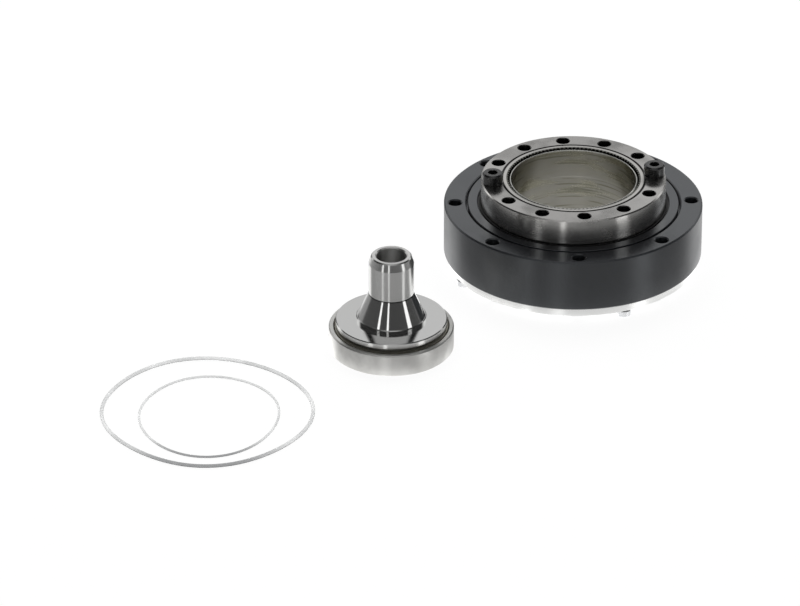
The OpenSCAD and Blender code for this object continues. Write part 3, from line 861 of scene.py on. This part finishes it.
zinc = grained(
    "zinc", (0.86, 0.86, 0.87), (0.78, 0.79, 0.80),
    metallic=1.0, roughness=(0.32, 0.45), grain=0.3, depth=0.002,
)
seal_tin = grained(
    "seal_tin", (0.10, 0.10, 0.10), (0.05, 0.05, 0.05),
    metallic=1.0, roughness=(0.3, 0.42), grain=0.3, depth=0.002,
)
seal_rubber = grained(
    "matt_rubber", (0.018, 0.018, 0.019), (0.03, 0.03, 0.03),
    metallic=0.0, roughness=(0.5, 0.65), grain=0.15, depth=0.004,
)
spacer_nylon = grained(
    "spacer_nylon", (0.78, 0.75, 0.66), (0.72, 0.69, 0.58),
    metallic=0.0, roughness=(0.4, 0.5), grain=0.2, depth=0.003,
)
cage_nylon = grained(
    "cage_nylon", (0.62, 0.60, 0.52), (0.52, 0.50, 0.42),
    metallic=0.0, roughness=(0.35, 0.5), grain=0.2, depth=0.003,
)
ball_steel = grained(
    "ball_steel", (0.7, 0.7, 0.7), (0.66, 0.66, 0.66),
    metallic=1.0, roughness=(0.05, 0.08), grain=0.3, depth=0.0,
)
print("small finishes made:", zinc.name, seal_tin.name, seal_rubber.name, cage_nylon.name)

# %% [markdown]
# ## The O-rings
#
# An O-ring is a soft cord of silicone closed on itself. Laid on a table it never lies as a true
# circle: it keeps a trace of the bag it came in. The silicone is nearly clear, with cloudy
# stretches, and the side towards the dark room is painted greyer, a painted shade. The colour is
# mixed from noise and from the direction round the ring, so it belongs to the ring and not to
# the view.

# %% A finish for silicone
CLEAR_SILICONE = (0.985, 0.99, 0.99)
SHADE_AND_CLOUD_GREY = (0.42, 0.425, 0.43)
CLOUD_SIZE = 14.0
CLOUD_SPREAD = (0.40, 0.68)
MOST_CLOUD = 0.3
RING_FRONT = (-1.0, -0.55)


def silicone(name, node):
    """Nearly clear silicone: pale, cloudy in stretches, with painted shade along the ring's front.
    """
    material, tree = start_material(name)
    low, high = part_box(node)
    deep = from_axis(tree, (low + high) / 2)[3]
    cloud = between(tree, smudges(tree, CLOUD_SIZE, 2.0), *CLOUD_SPREAD, 0.0, MOST_CLOUD)
    # Painted shade: the ring's side towards the dark room turns greyer.
    front = between(tree, deep, *RING_FRONT, 1.0, 0.0)
    shade_and_cloud = maths(tree, "MAXIMUM", cloud, front)
    close_material(tree, {
        "Base Color": blend_colours(tree, shade_and_cloud, CLEAR_SILICONE, SHADE_AND_CLOUD_GREY),
        "Roughness": 0.12,
        "IOR": 1.41,
        "Transmission Weight": 0.86,
    })
    return material


large_silicone = silicone("large_ring_silicone", "large_o_ring")
small_silicone = silicone("small_ring_silicone", "small_o_ring")
print("silicone:", large_silicone.name, small_silicone.name)

# %% [markdown]
# ## Laying the rings
#
# Each ring is a swept tube whose distance from the middle wavers by a fraction of a millimetre,
# inside the box of its solid. A cloth or rope simulation could drop the rings on the table, but
# it would settle them into shapes of its own. A few waves added up give the exact, gentle
# unevenness that a real ring keeps, and nothing has to be run.

# %% Shape and lay the O-rings
RING_SEGMENTS = 256
TUBE_SIDES = 20
LARGE_INSET = 0.42
SMALL_INSET = 0.13
LARGE_WAVER = [(1, 0.20, 117), (2, 0.23, -88), (3, 0.16, 46), (4, 0.37, 17), (5, 0.07, -113)]
SMALL_WAVER = [(1, 0.14, 90), (2, 0.15, 81), (3, 0.22, 84), (4, 0.11, 52), (5, 0.05, 150)]


def ring_points(node, inset, waver):
    """Points of a tube in the box of its solid, circle after circle."""
    low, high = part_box(node)
    middle = (low + high) / 2
    half = (high - low) / 2
    points = []
    for segment in range(RING_SEGMENTS):
        a = 2 * math.pi * segment / RING_SEGMENTS
        sway = sum(size * math.cos(lobes * a - math.radians(turn)) for lobes, size, turn in waver)
        for side in range(TUBE_SIDES):
            b = 2 * math.pi * side / TUBE_SIDES
            reach = half.z * (math.cos(b) - 1) + (sway - inset) * MM
            points.append((
                middle.x + (half.x + reach) * math.cos(a),
                middle.y + (half.y + reach) * math.sin(a),
                middle.z + half.z * math.sin(b),
            ))
    return points


def ring_faces():
    """Four-sided faces that join each circle of points to the next, and the last to the first."""
    faces = []
    for segment in range(RING_SEGMENTS):
        here = segment * TUBE_SIDES
        following = (segment + 1) % RING_SEGMENTS * TUBE_SIDES
        for side in range(TUBE_SIDES):
            beside = (side + 1) % TUBE_SIDES
            faces.append((here + side, following + side, following + beside, here + beside))
    return faces


def lay_o_ring(node, name, finish, inset, waver):
    """A ring in place of its solid, inset in mm. Waver lists (lobes, mm, turn in degrees)."""
    mesh = bpy.data.meshes.new(name)
    mesh.from_pydata(ring_points(node, inset, waver), [], ring_faces())
    mesh.materials.append(finish)
    mesh.shade_smooth()
    ring = bpy.data.objects.new(name, mesh)
    bpy.context.scene.collection.objects.link(ring)
    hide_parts(node)
    return ring


large_ring = lay_o_ring("large_o_ring", "large_ring", large_silicone, LARGE_INSET, LARGE_WAVER)
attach(large_ring, "large_seal")
small_ring = lay_o_ring("small_o_ring", "small_ring", small_silicone, SMALL_INSET, SMALL_WAVER)
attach(small_ring, "small_seal")
print("O-rings laid:", large_ring.name, small_ring.name)

# %% [markdown]
# ## Put the finishes on
#
# Each solid keeps its exact mesh and takes the finish of its real piece. A new mesh laid over
# the solid could carry the finish too, but the exact one is already there.

# %% Give each piece its finish
FINISHES = {
    "outer_ring": ring_black,
    "upper_race_ring": ring_black,
    "seal_case": seal_tin,
    "seal_lip": seal_rubber,
    "flexspline": tube_steel,
    "flange_screws": zinc,
    "inner_ring": ring_steel,
    "circular_spline": spline_steel,
    "spline_screws": screw_black,
    "rollers_rising": roller_steel,
    "rollers_falling": roller_steel,
    "roller_spacers": spacer_nylon,
    "wave_outer_race": race_steel,
    "wave_plug": plug_steel,
    "wave_inner_race": race_steel,
    "wave_balls": ball_steel,
    "ball_cage": cage_nylon,
}
for node, finish in FINISHES.items():
    for slot in nodes[node].material_slots:
        slot.material = finish
print(len(FINISHES), "pieces finished")
